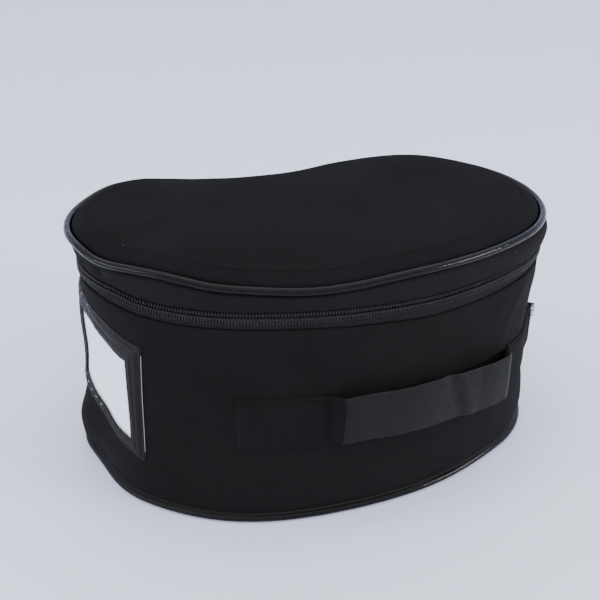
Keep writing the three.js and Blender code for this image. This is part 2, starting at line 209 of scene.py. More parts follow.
def roundCurve(table, row):
    return lambda at: tableCurve(table, row, np.mod(at, perimeter))


rimAt = roundCurve(rim, "z")
zipTopAt, zipFootAt = roundCurve(zipEdges, "top"), roundCurve(zipEdges, "foot")


# Faces of a grid of points; UVs are lengths along and across in millimetres, or X and Y with planUv
def gridPart(points, closeAlong=False, closeAcross=False, planUv=False):
    rows, cols = points.shape[:2]
    a, b = np.meshgrid(np.arange(rows - 1 + closeAlong), np.arange(cols - 1 + closeAcross), indexing="ij")
    c, d = (a + 1) % rows, (b + 1) % cols
    quads = np.stack([a * cols + b, c * cols + b, c * cols + d, a * cols + d], -1).reshape(-1, 4)
    whole = np.pad(points, ((0, int(closeAlong)), (0, int(closeAcross)), (0, 0)), mode="wrap")
    if planUv:
        uv = whole[:, :, :2]
    else:
        along = np.linalg.norm(np.diff(whole, axis=0), axis=2).mean(1)
        across = np.linalg.norm(np.diff(whole, axis=1), axis=2).mean(0)
        u = np.concatenate([[0], np.cumsum(along)])
        v = np.concatenate([[0], np.cumsum(across)])
        uv = np.stack(np.meshgrid(u, v, indexing="ij"), -1)
    corners = np.stack([uv[a, b], uv[a + 1, b], uv[a + 1, b + 1], uv[a, b + 1]], 2).reshape(-1, 2)
    return points.reshape(-1, 3), quads, corners


# The same part with its faces turned over
def turnedOver(part):
    points, quads, corners = part
    return points, quads[:, ::-1], corners.reshape(-1, 4, 2)[:, ::-1].reshape(-1, 2)


def joinParts(parts):
    points, quads, corners, offset = [], [], [], 0
    for part in parts:
        points.append(part[0])
        quads.append(part[1] + offset)
        corners.append(part[2])
        offset += len(part[0])
    return np.concatenate(points), np.concatenate(quads), np.concatenate(corners)


# Wall of even thickness with rolled edges: up the outside, round the top, down the inside, round the foot
def rolledWall(outAt, low, high, thick, rows, rollSteps=7):
    at = roundColumns[:, None]
    roll = thick / 2
    share = np.linspace(0, 1, rows)[None, :]
    z = low[:, None] + roll + (high - low - 2 * roll)[:, None] * share
    out = outAt(at, z)
    turn = np.linspace(0, math.pi, rollSteps + 2)[None, 1:-1]
    topOut = out[:, -1:] - roll + roll * np.cos(turn)
    topZ = z[:, -1:] + roll * np.sin(turn)
    footOut = out[:, :1] - roll - roll * np.cos(turn)
    footZ = z[:, :1] - roll * np.sin(turn)
    profileOut = np.concatenate([out, topOut, out[:, ::-1] - thick, footOut], 1)
    profileZ = np.concatenate([z, topZ, z[:, ::-1], footZ], 1)
    return gridPart(spot(at, profileOut, profileZ), True, True)


# Two-sided sheet about a middle surface, its thickness rounded off to nothing at the border
def sheetPart(middleAt, ats, shares, zAt, thickAt, rounding, slantAt=None):
    at, share = np.meshgrid(ats, shares, indexing="ij")
    z = zAt(at, share)
    height = z[:, -1:] - z[:, :1]
    inset = np.minimum(np.minimum(at - ats[0], ats[-1] - at), np.minimum(share, 1 - share) * height)
    at = slantAt(at, share) if slantAt else at
    thick = thickAt(at, z) if callable(thickAt) else thickAt
    half = thick / 2 * roundedRise(inset, rounding)
    middle = middleAt(at, z)
    return joinParts([gridPart(spot(at, middle + half, z)), turnedOver(gridPart(spot(at, middle - half, z)))])


# Round threads along many paths at once: rings square to each path, tapered into a closed tip at both ends
def threadPart(paths, facing, radius, sides=6, tip=0.02):
    count, steps = paths.shape[:2]
    tangent = np.gradient(paths, axis=1)
    tangent /= np.linalg.norm(tangent, axis=2, keepdims=True)
    side = np.cross(tangent, np.broadcast_to(facing, paths.shape))
    side /= np.linalg.norm(side, axis=2, keepdims=True)
    up = np.cross(side, tangent)
    taper = np.ones(steps)
    taper[[0, -1]] = tip
    turn = ringTurns(sides)
    ring = np.cos(turn)[:, None] * side[:, :, None, :] + np.sin(turn)[:, None] * up[:, :, None, :]
    points = paths[:, :, None, :] + radius * taper[None, :, None, None] * ring
    m, n, s = np.meshgrid(np.arange(count), np.arange(steps - 1), np.arange(sides), indexing="ij")
    first = (m * steps + n) * sides
    k = (s + 1) % sides
    quads = np.stack([first + s, first + k, first + sides + k, first + sides + s], -1).reshape(-1, 4)
    uv = np.stack([n, s], -1).reshape(-1, 1, 2).astype(float)
    corners = (uv + np.array([[0, 0], [0, 1], [1, 1], [1, 0]])).reshape(-1, 2)
    return points.reshape(-1, 3), quads, corners


# Stitches along a run: each is an arch of thread between two holes, over the surface of surfaceAt(s, lift)
stitchArch = dict(power=0.6, sunk=0.25, steps=7)


def stitchPart(surfaceAt, start, stop, stitch, facing):
    holes = np.arange(start, stop - stitch["length"], stitch["pitch"])
    t = np.linspace(0, 1, stitchArch["steps"])
    s = holes[:, None] + stitch["length"] * t[None, :]
    lift = stitch["rise"] * (np.sin(math.pi * t) ** stitchArch["power"] - stitchArch["sunk"])
    return threadPart(surfaceAt(s, np.broadcast_to(lift, s.shape)), facing, stitch["radius"])


def linkObject(name, data):
    made = bpy.data.objects.new(name, data)
    bpy.context.scene.collection.objects.link(made)
    return made


# Smooth mesh object at the origin with one material
def linkMesh(name, mesh, material):
    mesh.polygons.foreach_set("use_smooth", np.ones(len(mesh.polygons), bool))
    mesh.materials.append(material)
    return linkObject(name, mesh)


# One piece from millimetres to metres; points that meet are merged and flat faces dropped
mergeWithin, flatWithin = 2e-6, 1e-7


def makePiece(name, part, material, nodes=()):
    points, quads, corners = part
    points = (points + np.array(case["shift"])) * metre
    mesh = bpy.data.meshes.new(name)
    mesh.from_pydata(points.tolist(), [], quads.tolist())
    uvLayer = mesh.uv_layers.new(name="UVMap")
    uvLayer.data.foreach_set("uv", corners.astype(np.float32).ravel())
    made = bmesh.new()
    made.from_mesh(mesh)
    bmesh.ops.remove_doubles(made, verts=made.verts, dist=mergeWithin)
    bmesh.ops.dissolve_degenerate(made, dist=flatWithin, edges=made.edges)
    made.to_mesh(mesh)
    made.free()
    piece = linkMesh(name, mesh, material)
    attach(piece, "root")
    if nodes:
        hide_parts(*nodes)
    print("piece", name, len(mesh.polygons), "faces")
    return piece


# Materials
def addNode(tree, kind, **values):
    node = tree.nodes.new(kind)
    for key, value in values.items():
        setattr(node, key, value)
    return node


# Links a node's output to a socket, or puts a plain value on it
def feed(socket, value):
    if isinstance(value, bpy.types.NodeSocket):
        socket.id_data.links.new(value, socket)
    else:
        socket.default_value = value


def feedAll(node, values):
    for label, value in values.items():
        feed(node.inputs[label], value)


def mathNode(operation, *values):
    tree = next(value.id_data for value in values if isinstance(value, bpy.types.NodeSocket))
    node = addNode(tree, "ShaderNodeMath", operation=operation)
    for socket, value in zip(node.inputs, values):
        feed(socket, value)
    return node.outputs[0]


def scaled(value, times, plus):
    return mathNode("MULTIPLY_ADD", value, times, plus)


# Sine of a length, turning by an angle for each pitch
def sineNode(length, pitch, angle):
    return mathNode("SINE", mathNode("MULTIPLY", mathNode("DIVIDE", length, pitch), angle))


def splitVector(vector):
    node = addNode(vector.id_data, "ShaderNodeSeparateXYZ")
    feed(node.inputs[0], vector)
    return node.outputs


def mixColour(factor, low, high):
    node = addNode(factor.id_data, "ShaderNodeMix", data_type="RGBA")
    for place, value in zip((0, 6, 7), (factor, low, high)):
        feed(node.inputs[place], value)
    return node.outputs[2]


def bumpNode(height, strength, distance, **normal):
    node = addNode(height.id_data, "ShaderNodeBump")
    feedAll(node, dict(Height=height, Strength=strength, Distance=distance, **normal))
    return node.outputs["Normal"]


# Node group that takes a vector and some numbers and gives numbers
def newGroup(name, vector, numbers, results):
    tree = bpy.data.node_groups.new(name, "ShaderNodeTree")
    tree.interface.new_socket(vector, in_out="INPUT", socket_type="NodeSocketVector")
    for way, labels in (("INPUT", numbers), ("OUTPUT", results)):
        for label in labels:
            tree.interface.new_socket(label, in_out=way, socket_type="NodeSocketFloat")
    return tree, tree.nodes.new("NodeGroupInput").outputs, tree.nodes.new("NodeGroupOutput").inputs


def placeGroup(group, vector, **numbers):
    node = addNode(vector.id_data, "ShaderNodeGroup", node_tree=group)
    feed(node.inputs[0], vector)
    feedAll(node, numbers)
    return node.outputs


# Plain weave: the product of one sine along and one across, so threads rise and dip in turn
def weaveGroup():
    tree, given, result = newGroup("plain weave", "UV", ["Pitch"], ["Height"])
    split = splitVector(given["UV"])
    waves = [sineNode(split[axis], given["Pitch"], math.pi) for axis in ("X", "Y")]
    feed(result["Height"], scaled(mathNode("MULTIPLY", *waves), 0.5, 0.5))
    return tree


# Twill: slanted ribs from a sine of along plus slant times across, cut into single threads by a second sine
def twillGroup(threadAngle=12.0, cutDeep=0.2):
    tree, given, result = newGroup("twill weave", "UV", ["Pitch", "Slant"], ["Height"])
    split = splitVector(given["UV"])
    leaning = scaled(split["Y"], given["Slant"], split["X"])
    ribs = scaled(sineNode(leaning, given["Pitch"], fullTurn), 0.5, 0.5)
    threads = sineNode(split["Y"], given["Pitch"], threadAngle)
    feed(result["Height"], mathNode("MULTIPLY", ribs, scaled(threads, cutDeep, 1 - cutDeep)))
    return tree


# Handled surface: broad mottling, puckers, fine grain, and rare lint from cells whose middle is near
handling = dict(Mottle=(28.0, 4.0), Pucker=(230.0, 1.0), Grain=(900.0, 3.0))
lint = dict(scale=75.0, reach=0.035, rarity=0.86)


def handledGroup():
    tree, given, result = newGroup("handled surface", "Vector", [], [*handling, "Lint"])
    for label, (scale, detail) in handling.items():
        noise = addNode(tree, "ShaderNodeTexNoise")
        feedAll(noise, dict(Vector=given["Vector"], Scale=scale, Detail=detail))
        feed(result[label], noise.outputs["Fac"])
    cells = addNode(tree, "ShaderNodeTexVoronoi")
    feedAll(cells, dict(Vector=given["Vector"], Scale=lint["scale"]))
    near = mathNode("LESS_THAN", cells.outputs["Distance"], lint["reach"])
    tone = addNode(tree, "ShaderNodeSeparateColor")
    feed(tone.inputs[0], cells.outputs["Color"])
    rare = mathNode("GREATER_THAN", tone.outputs[0], lint["rarity"])
    feed(result["Lint"], mathNode("MULTIPLY", near, rare))
    return tree


weave, twill, handled = weaveGroup(), twillGroup(), handledGroup()
# The first tint is the cloth's own; the second, cool one is a painted reflection, standing in for the bluish
# sheen on the lid's top
warmTint, bluishReflectionTint = (1.06, 1.0, 0.98), (1.0, 1.0, 1.06)


def grey(tone, tint=warmTint):
    return (tone * tint[0], tone * tint[1], tone * tint[2], 1.0)


# A material with plain values on its shader, and its coordinates and handling masks
def newMaterial(name, values):
    material = bpy.data.materials.new(name)
    material.use_nodes = True
    tree = material.node_tree
    shader = tree.nodes["Principled BSDF"]
    feedAll(shader, values)
    coords = addNode(tree, "ShaderNodeTexCoord").outputs
    return material, shader, coords, placeGroup(handled, coords["Object"])


def mottled(worn, tone, low, high, tint=warmTint):
    return mixColour(worn["Mottle"], grey(tone * low, tint), grey(tone * high, tint))


# Matte cloth over foam: mottled black, fine plain weave, lint
def clothMaterial(
    name, tone, pitch=0.62, deep=0.00022, lintTone=0.06, sheen=0.015, shine=0.045, tint=warmTint
):
    values = {"Sheen Weight": sheen, "Sheen Roughness": 0.45, "Sheen Tint": grey(0.5)}
    values["Specular IOR Level"] = shine
    material, shader, coords, worn = newMaterial(name, values)
    threads = placeGroup(weave, coords["UV"], Pitch=pitch)
    grain = bumpNode(worn["Grain"], strength=0.35, distance=deep)
    cloth = mottled(worn, tone, low=0.78, high=1.22, tint=tint)
    feedAll(shader, {
        "Base Color": mixColour(worn["Lint"], cloth, grey(lintTone)),
        "Roughness": scaled(worn["Grain"], times=0.15, plus=0.83),
        "Normal": bumpNode(threads["Height"], strength=0.5, distance=deep, Normal=grain),
    })
    return material


# Smooth vinyl: nearly black, finely grained, duller where handled, and scuffed towards the first X given
def vinylMaterial(name, tone, gloss, shine, scuffed=None):
    material, shader, coords, worn = newMaterial(name, {"Specular IOR Level": shine})
    rough = scaled(worn["Mottle"], times=0.12, plus=gloss)
    if scuffed:
        away = mathNode("SUBTRACT", scuffed[1], splitVector(coords["Object"])["X"])
        share = mathNode("MAXIMUM", mathNode("DIVIDE", away, scuffed[1] - scuffed[0]), 0.0)
        rough = scaled(mathNode("MINIMUM", share, 1.0), times=0.45, plus=rough)
    puckers = bumpNode(worn["Pucker"], strength=0.25, distance=0.0009)
    feedAll(shader, {
        "Base Color": mottled(worn, tone, low=0.8, high=1.3),
        "Roughness": rough,
        "Normal": bumpNode(worn["Grain"], strength=0.1, distance=0.0002, Normal=puckers),
    })
    return material


# Woven webbing: slanted ribs with painted highlight on their crests and painted shade in their grooves, and a
# paler selvedge along both edges whose paleness is painted highlight
def webbingMaterial(name, tone, wide, selvedgeHighlight=0.9):
    values = {"Sheen Weight": 0.07, "Sheen Roughness": 0.35, "Specular IOR Level": 0.15}
    material, shader, coords, worn = newMaterial(name, values)
    ribs = placeGroup(twill, coords["UV"], Pitch=2.0, Slant=1.2)
    # Painted light and shade: the rib colour runs from dark in the grooves to light on the crests
    litAndShadedWeave = mixColour(ribs["Height"], grey(tone * 0.3), grey(tone * 1.75))
    # Painted highlight: both edge strips are paler, as where the strap's edges catch light
    across = splitVector(coords["UV"])["Y"]
    away = mathNode("ABSOLUTE", mathNode("SUBTRACT", across, wide / 2))
    edge = mathNode("GREATER_THAN", away, wide / 2 - selvedgeHighlight)
    litAndShadedWeave = mixColour(edge, litAndShadedWeave, grey(tone * 1.7))
    feedAll(shader, {
        "Base Color": mixColour(worn["Lint"], litAndShadedWeave, grey(0.07)),
        "Roughness": scaled(worn["Mottle"], times=0.2, plus=0.6),
        "Normal": bumpNode(ribs["Height"], strength=0.8, distance=0.0006),
    })
    return material


# Nylon of the zip's coil, and thread: plain tone with a fine grain
def threadMaterial(name, tone, rough):
    material, shader, _, worn = newMaterial(name, {"Specular IOR Level": 0.14})
    feedAll(shader, {
        "Base Color": mottled(worn, tone, low=0.7, high=1.3),
        "Roughness": scaled(worn["Grain"], times=0.2, plus=rough),
    })
    return material


# White card with faint ruled lines: a line where the height, taken a pitch at a time, is near the middle
def cardMaterial(name, pitch, lineWide):
    material, shader, coords, worn = newMaterial(name, {"Specular IOR Level": 0.3})
    share = mathNode("FRACT", mathNode("DIVIDE", splitVector(coords["UV"])["Y"], pitch))
    away = mathNode("ABSOLUTE", mathNode("SUBTRACT", share, 0.5))
    line = mathNode("LESS_THAN", away, lineWide / pitch / 2)
    paper = mixColour(worn["Mottle"], (0.86, 0.89, 0.97, 1), (0.91, 0.93, 0.99, 1))
    feedAll(shader, {
        "Base Color": mixColour(line, paper, (0.50, 0.53, 0.62, 1)),
        "Roughness": scaled(worn["Grain"], times=0.2, plus=0.5),
    })
    return material


# Clear film: almost see-through, with a gloss that handling dulls a little
def filmMaterial(name):
    values = {"Base Color": (0.9, 0.93, 1.0, 1.0), "IOR": 1.45}
    material, shader, _, worn = newMaterial(name, values)
    feedAll(shader, {
        "Roughness": scaled(worn["Mottle"], times=0.15, plus=0.05),
        "Alpha": scaled(worn["Mottle"], times=0.05, plus=0.06),
    })
    return material


wallCloth = clothMaterial("wall cloth", 0.0080)
# Band cloth: the wall's fabric in a lighter tone, as painted light on the band
bandCloth = clothMaterial("band cloth", 0.0094)
patchCloth = clothMaterial("patch cloth", 0.0078)
# Lid cloth: the wall's fabric, with the bluish sheen of its top painted into its tint as painted reflection
lidCloth = clothMaterial("lid cloth", 0.0079, lintTone=0.1, sheen=0.005, shine=0.02, tint=bluishReflectionTint)
# Zip tape: its tone is lightened as painted light, to offset the shade in its recess behind the wall and band
zipTape = clothMaterial("zip tape", 0.0125, pitch=0.5, deep=0.0002)
blackVinyl = vinylMaterial("black vinyl", 0.003, 0.05, 0.14)
baseVinyl = vinylMaterial("base vinyl", 0.003, 0.05, 0.15, (-0.12, 0.02))
frameVinyl = vinylMaterial("frame vinyl", 0.0135, 0.4, 0.07)
webbing = webbingMaterial("webbing", 0.0056, 31.0)
# Zip nylon is lighter than the tape, as painted highlight on the coil's strokes; the slider and pull share it
zipNylon = threadMaterial("zip nylon", 0.017, 0.3)
blackThread = threadMaterial("black thread", 0.008, 0.5)
seamThread = threadMaterial("seam thread", 0.003, 0.7)
frayedThread = threadMaterial("frayed thread", 0.026, 0.6)
# Pale thread: painted highlight, for stitches and an edge that catch light
highlightThread = threadMaterial("painted highlight thread", 0.3, 0.4)
ruledCard = cardMaterial("ruled card", 10.5, 0.55)
clearFilm = filmMaterial("clear film")
print("materials made")

# Body wall: offset from the outline from foot to zip, and the share of each bump
wall = dict(
    thick=2.4,
    cut=121.0,
    along=[0.00, 0.03, 0.12, 0.25, 0.42, 0.62, 0.82, 0.94, 1.00],
    out=[-2.8, -0.6, 0.2, -0.8, -2.5, -3.2, -3.7, -4.1, -4.2],
    corner=[1.0, 1.0, 0.9, 0.6, 0.3, 0.1, 0.0, 0.0, 0.0],
    flare=[0.6, 1.0, 1.0, 0.66, 0.17, 0.0, 0.0, 0.0, 0.0],
    card=[0.64, 0.64, 0.56, 1.0, 1.0, 1.0, 0.8, 0.1, 0.0],
    full=[-0.2, -0.2, 0.0, 0.0, -0.6, 0.1, 0.5, 0.95, 1.0],
    tuck=[1.0, 1.0, 0.9, 0.6, 0.3, 0.0, 0.0, 0.0, 0.0],
)
wallBumps = dict(
    corner=dict(at=50.0, spread=66.0, out=9.0),
    flare=dict(at=708.0, spread=24.0, out=8.0),
    card=dict(at=745.0, spread=32.0, out=-7.0),
    full=dict(at=292.0, spread=60.0, out=4.2),
    tuck=dict(at=232.0, spread=40.0, out=-2.0),
)
# Slack between the sewn edges, and folds below the zip that cross a middle height, lean and swell
wallSlack = dict(high=0.7, foot=(0.05, 0.3), top=(0.85, 1))
wallFolds = dict(at=[246.0, 231.0], lean=[0.64, 0.5], out=[1.2, 0.7], spread=[8.0, 6.0])
foldWindow = dict(middle=100.0, foot=(66, 96), top=(112, 124))


def wallBumpsAt(at, share):
    rows = wallBumps.items()
    return sum(tableCurve(wall, name, share) * bump(at, shape) for name, shape in rows)


def wallFoldsAt(at, z):
    place, up = np.mod(at, perimeter), z - foldWindow["middle"]
    folds = zip(*wallFolds.values())
    swell = sum(out * bell(place - middle - lean * up, wide) for middle, lean, out, wide in folds)
    return between(z, foldWindow["foot"], foldWindow["top"]) * swell


# Outside of the wall at a height, as an offset from the outline: the table plus bumps, slack and folds
def wallOut(at, z):
    share = np.clip((z - wallFoot) / (zipFootAt(at) - wallFoot), 0, 1)
    slack = wallSlack["high"] * unevenness(at, z) * between(share, wallSlack["foot"], wallSlack["top"])
    return tableCurve(wall, "out", share) + wallBumpsAt(at, share) + slack + wallFoldsAt(at, z)


wallFootAll = np.full(len(roundColumns), wallFoot)
wallPart = rolledWall(wallOut, wallFootAll, zipFootAt(roundColumns), wall["thick"], rows=64)
wallPiece = makePiece("wall_cloth", wallPart, wallCloth, ["body_wall"])

# Lid band: leans in from under the piping to the zip, with dents towards the card holder's end
band = dict(
    thick=2.4, cut=16.0, slack=0.35,
    along=[0.0, 0.14, 0.5, 1.0], out=[-2.9, -0.8, -1.8, -4.0], full=[0.6, 0.8, 1.3, 1.5],
)
bandDents = dict(
    at=[767.0, 748.0, 30.0], z=[149.0, 147.0, 143.0], out=[-3.0, -2.2, -0.6],
    wide=[4.5, 4.0, 14.0], high=[4.5 / 1.3, 4.0 / 1.3, 14.0 / 1.3],
)
lidCord = dict(radius=2.4, joint=539.0, flange=-2.0)


def bandTopAt(at):
    return rimAt(at) - lidCord["radius"] - 2 * gap


# Outside of the band: its table, slack in its middle, the wall's full corner, and bell-shaped dents
def bandOut(at, z):
    share = np.clip((bandTopAt(at) - z) / (bandTopAt(at) - zipTopAt(at)), 0, 1)
    out = tableCurve(band, "out", share)
    out = out + band["slack"] * unevenness(at, z) * np.sin(math.pi * share)
    out = out + tableCurve(band, "full", share) * bump(at, wallBumps["full"])
    return out + pushes(bandDents, at, z)


bandPart = rolledWall(bandOut, zipTopAt(roundColumns), bandTopAt(roundColumns), band["thick"], rows=26)
bandPiece = makePiece("lid_band_cloth", bandPart, bandCloth, ["lid_band"])

# Corded piping: vinyl pulled over a cord, a little uneven, its ends lapped at the middle of the back
baseCord = dict(radius=2.2, joint=539.0, flange=2.15)
cordUneven = dict(least=0.985, lap=0.036, lapSpread=5.0, wave=0.015, turns=(61, 23), phase=1.0)
cordFlange = dict(swell=1.05, spread=0.32)


def cordRadius(cord, at):
    turn = fullTurn * at / perimeter
    lap = cordUneven["lap"] * bell(at - cord["joint"], cordUneven["lapSpread"])
    first, second = cordUneven["turns"]
    wave = cordUneven["wave"] * np.sin(first * turn) * np.sin(second * turn + cordUneven["phase"])
    return cord["radius"] * (cordUneven["least"] + lap + wave)


# A circle carried round the outline, whose radius swells, bell-shaped, into a flange towards the seam
def cordRing(cord, out, z, sides=32):
    turn = ringTurns(sides)[None, :]
    away = np.mod(turn - cord["flange"] + math.pi, fullTurn) - math.pi
    rows = (cordRadius(cord, fineColumns), out, z)
    radius, out, z = (np.broadcast_to(row, fineColumns.shape)[:, None] for row in rows)
    reach = radius * (1 + cordFlange["swell"] * bell(away, cordFlange["spread"]))
    points = spot(fineColumns[:, None], out + reach * np.cos(turn), z + reach * np.sin(turn))
    return gridPart(points, True, True)


def baseOut(at):
    return wallBumpsAt(at, 0.0)


makePiece("lid_cord", cordRing(lidCord, 0.0, rimAt(fineColumns)), blackVinyl, ["lid_piping"])
baseCordPart = cordRing(baseCord, baseOut(fineColumns), baseCord["radius"] + gap)
makePiece("base_cord", baseCordPart, baseVinyl, ["base_piping"])

# Lid panel: padded and crowned, with a seam line sewn down all round
lid = dict(
    thick=5.5,
    crown=5.5,
    middle=153.4,
    slope=-0.012,
    edge=1.5,
    inset=2.4 + gap,
    seamIn=9.0,
    seamDeep=0.25,
    seamWide=1.0,
    along=[0.0, 0.05, 0.13, 0.35, 0.7, 1.0],
    rise=[0.0, 0.42, 0.74, 0.92, 0.99, 1.0],
)
lidSlack = dict(high=0.5, x=(0.045, 0.6), y=(0.06, 1.1), inward=(6, 40))
nearRim = np.array([0, 0.15, 0.4, 0.8, 1.3, 2.0, 3.0, 4.5, 6.0, 7.2, 8.0, 8.5, 9.0, 9.5, 10.0, 10.8, 12.0])
spineBow = (hollowCentre[1] - case["hollow"] + frontCentre[1] - case["front"]) / 2


# Foot of each column on the spine: it runs along under the front and the hollow, and stays put in the lobes
spineAlong = np.interp(roundColumns, [*arcBegin, perimeter], [-1, 1, 1, -1, -1])
spine = np.stack([case["reach"] * spineAlong, spineBow * (1 - spineAlong**2)], -1)


# Plan grid of a panel, from the rim in to the spine, with each point's distance from the rim and its share
def panelGrid(rimOut, near, farRows):
    edge = spot(roundColumns, rimOut, 0.0)[:, :2]
    length = np.linalg.norm(spine - edge, axis=1)[:, None]
    far = near[-1] + (length - near[-1]) * np.linspace(0, 1, farRows + 1)[None, 1:]
    inward = np.concatenate([np.broadcast_to(near, (len(edge), len(near))), far], 1)
    share = inward / length
    plan = edge[:, None, :] + (spine - edge)[:, None, :] * share[:, :, None]
    return plan, inward, share


# Top of the lid: from the rim's height to the spine's, plus a crown that puffs up quickly inside the rim
def lidHeight(at, spineX, plan, inward, share):
    edge = rimAt(at)
    level = edge + (lid["middle"] + lid["slope"] * spineX - edge) * smoothStep(share, 0, 1)
    waves = [np.sin(lidSlack[k][0] * plan[..., n] + lidSlack[k][1]) for n, k in enumerate("xy")]
    slack = lidSlack["high"] * waves[0] * waves[1] * smoothStep(inward, *lidSlack["inward"])
    crown = lid["crown"] * tableCurve(lid, "rise", share)
    return level - lid["inset"] + lid["thick"] + crown + slack


# Panel from its underside's spine out to the rim, round the edge and back in over the top
def panelPart(plan, top, under):
    low = np.concatenate([plan, under[..., None]], 2)[:, ::-1]
    high = np.concatenate([plan, top[..., None]], 2)
    return gridPart(np.concatenate([low, high], 1), True, False, planUv=True)


lidPlan, lidInward, lidShare = panelGrid(-lid["inset"], nearRim, 34)
lidSmooth = lidHeight(roundColumns[:, None], spine[:, :1], lidPlan, lidInward, lidShare)
lidEdgeDrop = lid["edge"] * (1 - roundedRise(lidInward, lid["edge"]))
lidSeam = lid["seamDeep"] * bell(lidInward - lid["seamIn"], lid["seamWide"])
lidPart = panelPart(lidPlan, lidSmooth - lidEdgeDrop - lidSeam, lidSmooth - lid["thick"])
lidPiece = makePiece("lid_top_cloth", lidPart, lidCloth, ["lid_panel"])

# Seam thread of the lid, in the bottom of its seam line
seamStitch = dict(pitch=3.6, length=2.7, rise=0.34, radius=0.24)


def lidSeamAt(s, lift):
    edge = spot(s, -lid["inset"], 0.0)[..., :2]
    at = np.append(roundColumns, perimeter)
    foot = np.stack([np.interp(s, at, np.append(spine[:, k], spine[0, k])) for k in (0, 1)], -1)
    share = lid["seamIn"] / np.linalg.norm(foot - edge, axis=-1)
    plan = edge + (foot - edge) * share[..., None]
    z = lidHeight(s, foot[..., 0], plan, lid["seamIn"], share) - lid["seamDeep"]
    return np.concatenate([plan, (z + lift)[..., None]], -1)


seamPart = stitchPart(lidSeamAt, 0, perimeter, seamStitch, upward)
makePiece("lid_seam_thread", seamPart, seamThread)

# Base panel: flat, padded, inside its piping
base = dict(thick=baseThick, inset=2.2 + gap, edge=0.8)
basePlan, baseInward, _ = panelGrid(baseOut(roundColumns) - base["inset"], nearRim[:8], 8)
baseRound = base["edge"] * (1 - roundedRise(baseInward, base["edge"]))
basePart = panelPart(basePlan, base["thick"] - baseRound, baseRound)
basePiece = makePiece("base_cloth", basePart, wallCloth, ["base_panel"])
print("case made")

# Zip: two tapes behind an interlocked coil, from one side of the back hinge round the front to the other
zipper = dict(recess=2.75, overlap=7.0, thick=1.1, below=4.0, bulge=2.1, foot=(-0.9, 0.6), top=(-1.5, 1.5))
chain = dict(
    pitch=1.8, wire=0.46, half=2.15, apart=1.4, deep=0.55, phase=(0.0, 0.5), lean=(0.22, 0.0),
    start=1, spare=3,
)
hinge = dict(past=4.0, thick=1.6, cut=30.5)
hingeRun = (hollowFrom - hinge["past"], hollowTo + hinge["past"])
zipRun = (hingeRun[1] + gap, hingeRun[0] + perimeter - gap)


# Face of the tapes: behind the top edge of the wall
def tapeFace(at):
    return wall["out"][-1] + bump(at, wallBumps["full"]) - zipper["recess"] - gap


def coilMiddle(at):
    return zipTopAt(at) - zipper["below"]


# The zip swells out between the wall's and the band's edges
def zipBulge(at, z):
    low = smoothStep(z - zipFootAt(at), *zipper["foot"])
    return zipper["bulge"] * low * (1 - smoothStep(z - zipTopAt(at), *zipper["top"]))


# Strip behind the zip's opening: the tapes' face plus the bulge, between two heights
def stripPart(run, lowAt, highAt, thick, count, rounding, rows=21):
    ats = run[0] + (run[1] - run[0]) * np.linspace(0, 1, count)
    middleAt = lambda at, z: tapeFace(at) - thick / 2 + zipBulge(at, z)
    heightAt = lambda at, share: lowAt(at) + (highAt(at) - lowAt(at)) * share
    return sheetPart(middleAt, ats, endSpread(rows), heightAt, thick, rounding)


tapeEdges = dict(
    lower=(lambda at: zipFootAt(at) - zipper["overlap"], lambda at: coilMiddle(at) - gap / 2),
    upper=(lambda at: coilMiddle(at) + gap / 2, lambda at: zipTopAt(at) + zipper["overlap"]),
)
for side, (lowAt, highAt) in tapeEdges.items():
    tapePart = stripPart(zipRun, lowAt, highAt, zipper["thick"], count=420, rounding=0.2)
    makePiece("zip_tape_" + side + "_cloth", tapePart, zipTape, ["zip_tape_" + side])


# Coil: a flattened helix on each tape, half a pitch apart so that their heads lie between each other
def coilPath(side, phase, lean, stepsPerTurn=10):
    turns = int((zipRun[1] - zipRun[0] - chain["spare"]) / chain["pitch"])
    turn = np.arange(turns * stepsPerTurn) * fullTurn / stepsPerTurn
    rise = side * (chain["apart"] + chain["half"] * np.cos(turn))
    at = zipRun[0] + chain["start"] + chain["pitch"] * (turn / fullTurn + phase) + lean * rise
    z = coilMiddle(at) + rise
    out = tapeFace(at) + zipBulge(at, z) + gap + chain["wire"] + chain["deep"] * (1 + np.sin(turn))
    return spot(at, out, z)[None]


coilPart = joinParts([
    threadPart(coilPath(side, phase, lean), upward, chain["wire"], sides=5)
    for side, phase, lean in zip((1, -1), chain["phase"], chain["lean"])
])
makePiece("zip_coil_chain", coilPart, zipNylon, ["zip_coil"])

# Back hinge: plain cloth strip that lid and wall turn on
hingeEdges = (tapeEdges["lower"][0], tapeEdges["upper"][1])
hingePart = stripPart(hingeRun, *hingeEdges, hinge["thick"], count=60, rounding=0.7, rows=31)
hingePiece = makePiece("hinge_cloth", hingePart, wallCloth, ["back_hinge"])

# Slider with its pull, parked beside the hinge: its place before the hinge's start, its seat and its sizes
slider = dict(before=15.0, seat=gap - 3.2, wide=10.0, thick=3.4, high=9.0)
pull = dict(wide=6.4, thick=1.8, high=24.0, out=0.75, overlap=2)


# Rounded plate: a ball whose sines and cosines are flattened towards a box, laid on the outline
def roundedPlate(middleAt, middleOut, middleZ, size, square=0.35, rows=24, cols=36):
    swing = np.linspace(-math.pi / 2, math.pi / 2, rows)[:, None]
    turn = ringTurns(cols)[None, :]
    flat = lambda value: np.sign(value) * np.abs(value) ** square
    at = middleAt + size["wide"] / 2 * flat(np.cos(swing)) * flat(np.cos(turn))
    out = middleOut + size["thick"] / 2 * flat(np.cos(swing)) * flat(np.sin(turn))
    z = middleZ + size["high"] / 2 * flat(np.sin(swing)) * np.ones_like(turn)
    return turnedOver(gridPart(spot(at, out, z), False, True))


